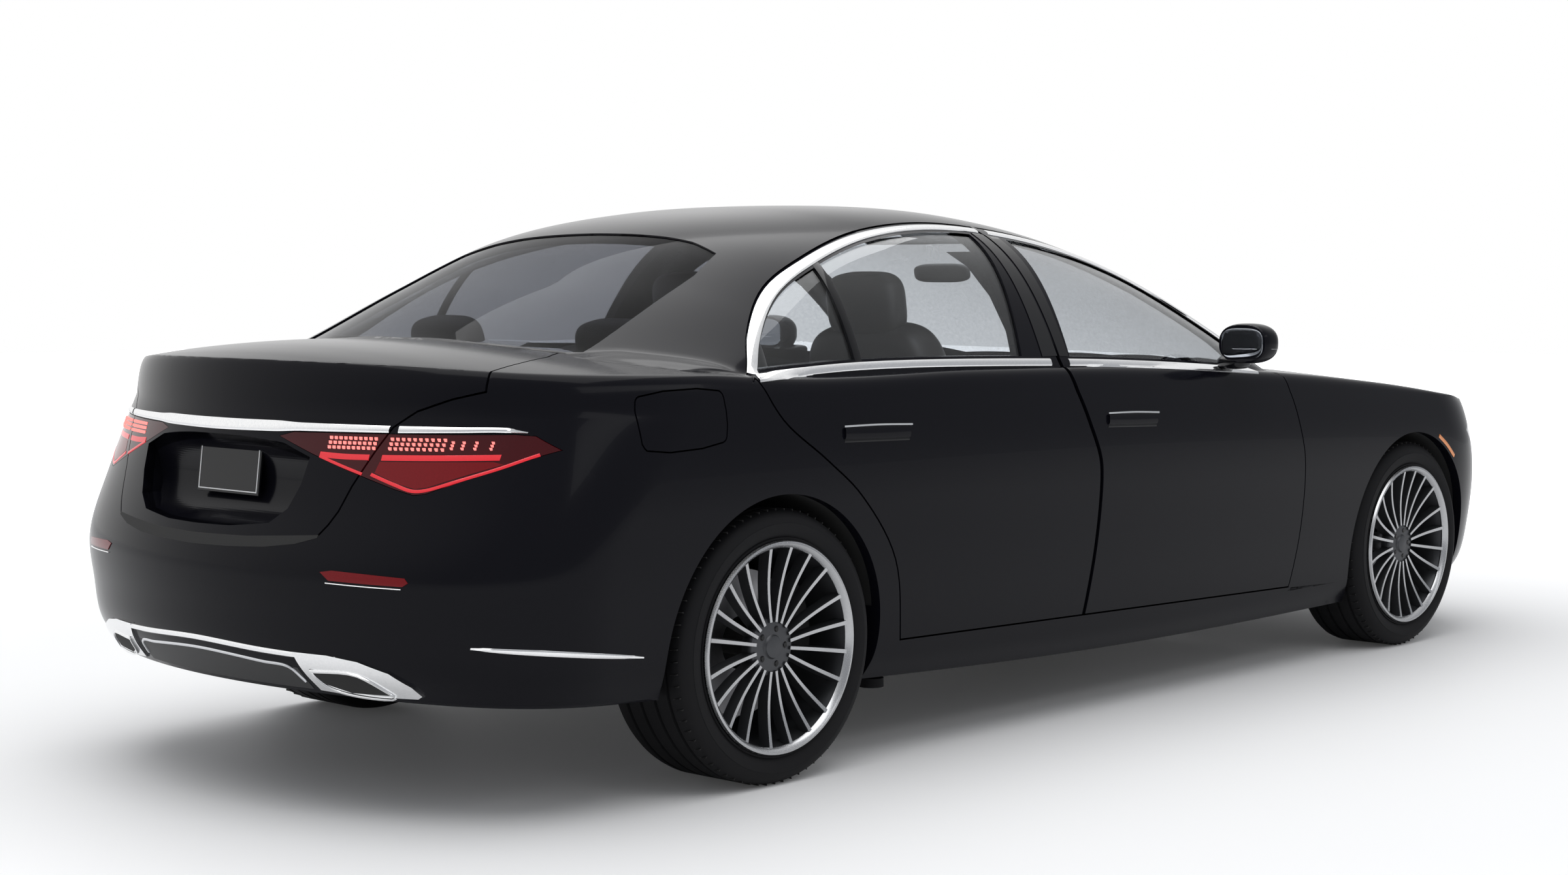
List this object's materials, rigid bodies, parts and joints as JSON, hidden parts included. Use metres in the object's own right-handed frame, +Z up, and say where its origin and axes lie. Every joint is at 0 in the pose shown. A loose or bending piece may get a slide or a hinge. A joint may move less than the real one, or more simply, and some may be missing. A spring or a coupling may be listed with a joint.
{
  "type": "luxury sedan",
  "caption": "Long four-door saloon car with a low arched roof, opening doors, bonnet, boot and fuel flap, steered front wheels and free-turning alloy wheels.",
  "frame": {"origin": "on the road, at the middle of the overall length and width", "axes": "+X forward to the nose, +Y to the car's left, +Z up"},
  "size_m": [5.247, 2.2048, 1.5008],
  "materials": {
    "body_paint": "deep near-black gloss paint",
    "black_trim": "gloss black",
    "underbody": "matt underseal",
    "window_glass": "lightly tinted",
    "bright_trim": "polished",
    "lamp_clear": "clear lens over bright reflectors",
    "lamp_red": "red lens",
    "steel": "bare steel",
    "black_rubber": "moulded",
    "cabin_trim": "grained",
    "seat_leather": "soft leather",
    "alloy": "cast",
    "wheel_alloy": "machined faces",
    "tyre": "black rubber"
  },
  "bodies": {
    "body": {"floor_pan": "underbody", "sills": "body_paint", "b_pillars": "black_trim", "roof_rails": "body_paint", "quarter_panels": "body_paint", "front_fenders": "body_paint", "roof_panel": "body_paint", "windshield": "window_glass", "backlight": "window_glass", "front_bumper": "body_paint", "rear_bumper": "body_paint", "grille": "bright_trim", "headlamps": "lamp_clear", "tail_lamps": "lamp_red", "hinges": "steel", "jack_pads": "black_rubber", "tow_sockets": "steel", "dashboard": "cabin_trim", "steering_wheel": "cabin_trim", "front_seats": "seat_leather", "rear_bench": "seat_leather", "engine_block": "alloy", "subframes": "underbody", "exhaust": "steel"},
    "bonnet": {"bonnet": "body_paint"},
    "trunk_lid": {"trunk_lid": "body_paint", "lid_lamps": "lamp_red"},
    "fuel_door": {"fuel_door": "body_paint"},
    "front_door_l": {"front_door_l": "body_paint", "front_glass_l": "window_glass", "mirror_l": "body_paint"},
    "rear_door_l": {"rear_door_l": "body_paint", "rear_glass_l": "window_glass"},
    "knuckle_l": {"knuckle_l": "steel"},
    "front_door_r": {"front_door_r": "body_paint", "front_glass_r": "window_glass", "mirror_r": "body_paint"},
    "rear_door_r": {"rear_door_r": "body_paint", "rear_glass_r": "window_glass"},
    "knuckle_r": {"knuckle_r": "steel"},
    "wheel_fl": {"rim_fl": "wheel_alloy", "tyre_fl": "tyre"},
    "wheel_fr": {"rim_fr": "wheel_alloy", "tyre_fr": "tyre"},
    "wheel_rl": {"rim_rl": "wheel_alloy", "tyre_rl": "tyre"},
    "wheel_rr": {"rim_rr": "wheel_alloy", "tyre_rr": "tyre"}
  },
  "joints": [
    {"name": "bonnet_hinge", "type": "hinge", "parent": "body", "child": "bonnet", "pos_m": [0.975, 0, 0.966], "axis": [0, -1, 0], "range_deg": [0, 50]},
    {"name": "trunk_lid_hinge", "type": "hinge", "parent": "body", "child": "trunk_lid", "pos_m": [-1.763, 0, 0.985], "axis": [0, 1, 0], "range_deg": [0, 55]},
    {"name": "fuel_door_hinge", "type": "hinge", "parent": "body", "child": "fuel_door", "pos_m": [-1.764, -0.927, 0.945], "axis": [0, 0, 1], "range_deg": [0, 80]},
    {"name": "front_door_l_hinge", "type": "hinge", "parent": "body", "child": "front_door_l", "pos_m": [0.913, 0.936, 0.625], "axis": [0, 0, -1], "range_deg": [0, 38]},
    {"name": "rear_door_l_hinge", "type": "hinge", "parent": "body", "child": "rear_door_l", "pos_m": [-0.221, 0.936, 0.625], "axis": [0, 0, -1], "range_deg": [0, 30]},
    {"name": "steer_l", "type": "hinge", "parent": "body", "child": "knuckle_l", "pos_m": [1.703, 0.7315, 0.356], "axis": [0, 0, 1], "range_deg": [-11, 11]},
    {"name": "front_door_r_hinge", "type": "hinge", "parent": "body", "child": "front_door_r", "pos_m": [0.913, -0.936, 0.625], "axis": [0, 0, 1], "range_deg": [0, 38]},
    {"name": "rear_door_r_hinge", "type": "hinge", "parent": "body", "child": "rear_door_r", "pos_m": [-0.221, -0.936, 0.625], "axis": [0, 0, 1], "range_deg": [0, 30]},
    {"name": "steer_r", "type": "hinge", "parent": "body", "child": "knuckle_r", "pos_m": [1.703, -0.7315, 0.356], "axis": [0, 0, 1], "range_deg": [-11, 11]},
    {"name": "wheel_fl_spin", "type": "hinge", "parent": "knuckle_l", "child": "wheel_fl", "pos_m": [1.703, 0.8215, 0.356], "axis": [0, 1, 0], "continuous": true},
    {"name": "wheel_fr_spin", "type": "hinge", "parent": "knuckle_r", "child": "wheel_fr", "pos_m": [1.703, -0.8215, 0.356], "axis": [0, 1, 0], "continuous": true},
    {"name": "wheel_rl_spin", "type": "hinge", "parent": "body", "child": "wheel_rl", "pos_m": [-1.513, 0.8065, 0.354], "axis": [0, 1, 0], "continuous": true},
    {"name": "wheel_rr_spin", "type": "hinge", "parent": "body", "child": "wheel_rr", "pos_m": [-1.513, -0.8065, 0.354], "axis": [0, 1, 0], "continuous": true}
  ],
  "couplings": [
    {"joint": "steer_r", "follows": "steer_l", "ratio": 1}
  ]
}
